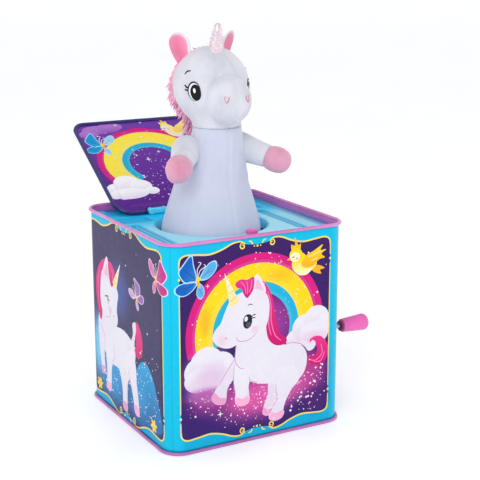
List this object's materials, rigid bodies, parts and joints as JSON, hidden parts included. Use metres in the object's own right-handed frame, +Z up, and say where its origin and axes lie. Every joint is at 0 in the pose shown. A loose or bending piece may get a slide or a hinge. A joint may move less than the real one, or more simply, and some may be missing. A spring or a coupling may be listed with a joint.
{
  "type": "jack in the box",
  "caption": "Square printed-tin jack in the box with a sprung plush unicorn, a hinged lid, a trip latch and a side crank that turns a musical movement.",
  "frame": {"origin": "middle of the flat underside of the box's base", "axes": "+Z up, -Y the front face, +X the side with the crank, +Y the side with the lid's hinge"},
  "size_m": [0.1822, 0.2096, 0.2829],
  "materials": {
    "printed_tin": "gloss printed tin plate",
    "pink_tin": "gloss pink lacquer",
    "deck_plastic": "moulded pale cyan plastic",
    "lid_tin": "gloss printed tin plate, navy rolled edge",
    "steel": "bright zinc-plated steel",
    "brass": "turned brass",
    "pink_plastic": "moulded pink plastic",
    "white_plastic": "moulded white plastic",
    "dark_plastic": "moulded dark plastic",
    "white_plush": "short-pile white plush, stuffed",
    "body_cloth": "thin brushed knit, bluish white",
    "pink_plush": "short-pile pink plush, stuffed",
    "pink_fur": "long-pile pink faux fur",
    "glitter_cloth": "iridescent glitter cloth",
    "circuit_board": "green circuit board",
    "red_led": "red epoxy",
    "green_led": "green epoxy",
    "blue_led": "blue epoxy",
    "clear_plastic": "frosted clear plastic",
    "lead_plastic": "thin two-core lead"
  },
  "bodies": {
    "box": {"body_shell": "printed_tin", "base_plate": "pink_tin", "crank_bushing": "white_plastic", "deck": "deck_plastic", "hinge_tab_left": "deck_plastic", "hinge_tab_right": "deck_plastic", "latch_spring": "steel", "music_frame": "steel", "music_comb": "steel", "comb_screw_1": "steel", "comb_screw_2": "steel", "spring_base": "white_plastic", "base_rivet_1": "steel", "base_rivet_2": "steel", "pop_spring": "steel", "light_lead": "lead_plastic", "battery_box": "white_plastic", "battery_cell_1": "steel", "battery_cell_2": "steel", "battery_cell_3": "steel", "battery_door": "white_plastic", "battery_screw": "steel", "switch_body": "dark_plastic", "body_sleeve": "body_cloth"},
    "lid": {"lid_panel": "lid_tin", "lid_hinge_pin": "steel"},
    "latch": {"latch_hook": "pink_plastic", "latch_shaft": "steel", "kicker_arm": "steel"},
    "crank": {"crank_wire": "steel", "crank_pinion": "brass", "knob_washer": "dark_plastic"},
    "knob": {"crank_knob": "pink_plastic"},
    "drum": {"music_drum": "brass", "drum_gear": "brass", "drum_axle": "steel", "kicker_cam": "white_plastic"},
    "puppet": {"spring_top": "white_plastic", "led_board": "circuit_board", "led_red": "red_led", "led_green": "green_led", "led_blue": "blue_led", "light_diffuser": "clear_plastic", "head": "white_plush", "horn": "glitter_cloth", "ear_left": "white_plush", "ear_right": "white_plush", "mane": "pink_fur"},
    "left_arm": {"arm_left": "white_plush", "hoof_left": "pink_plush"},
    "right_arm": {"arm_right": "white_plush", "hoof_right": "pink_plush"},
    "switch": {"switch_slider": "dark_plastic"}
  },
  "joints": [
    {"name": "puppet_pop", "type": "slide", "parent": "box", "child": "puppet", "axis": [0, 0, 1], "range_m": [-0.156, 0], "stiffness_N_per_m": 30, "springref_m": 0.06, "deforming": ["body_sleeve", "pop_spring", "light_lead", "arm_left", "hoof_left", "arm_right", "hoof_right"]},
    {"name": "lid_hinge", "type": "hinge", "parent": "box", "child": "lid", "pos_m": [0, 0.048, 0.1424], "axis": [1, 0, 0], "range_deg": [0, 148.3]},
    {"name": "arm_left_lift", "type": "hinge", "parent": "puppet", "child": "left_arm", "pos_m": [-0.019, 0, 0.196], "axis": [-0.8, 0.6, 0], "range_deg": [0, 50]},
    {"name": "arm_right_lift", "type": "hinge", "parent": "puppet", "child": "right_arm", "pos_m": [0.019, 0, 0.196], "axis": [-0.8, -0.6, 0], "range_deg": [0, 50]},
    {"name": "crank_turn", "type": "hinge", "parent": "box", "child": "crank", "pos_m": [0.078, 0, 0.059], "axis": [1, 0, 0], "continuous": true},
    {"name": "knob_spin", "type": "hinge", "parent": "crank", "child": "knob", "pos_m": [0.1, -0.037, 0.059], "axis": [1, 0, 0], "continuous": true},
    {"name": "drum_turn", "type": "hinge", "parent": "box", "child": "drum", "pos_m": [0.053, 0, 0.0752], "axis": [1, 0, 0], "continuous": true},
    {"name": "latch_rock", "type": "hinge", "parent": "box", "child": "latch", "pos_m": [-0.0025, -0.0604, 0.118], "axis": [1, 0, 0], "range_deg": [-8, 0], "stiffness_Nm_per_rad": 0.06},
    {"name": "switch_slide", "type": "slide", "parent": "box", "child": "switch", "axis": [1, 0, 0], "range_m": [0, 0.004]}
  ],
  "couplings": [
    {"joint": "lid_hinge", "follows": "puppet_pop", "rad_per_m": -16.592},
    {"joint": "arm_left_lift", "follows": "puppet_pop", "rad_per_m": -5.594},
    {"joint": "arm_right_lift", "follows": "puppet_pop", "rad_per_m": -5.594},
    {"joint": "drum_turn", "follows": "crank_turn", "ratio": -0.5}
  ]
}
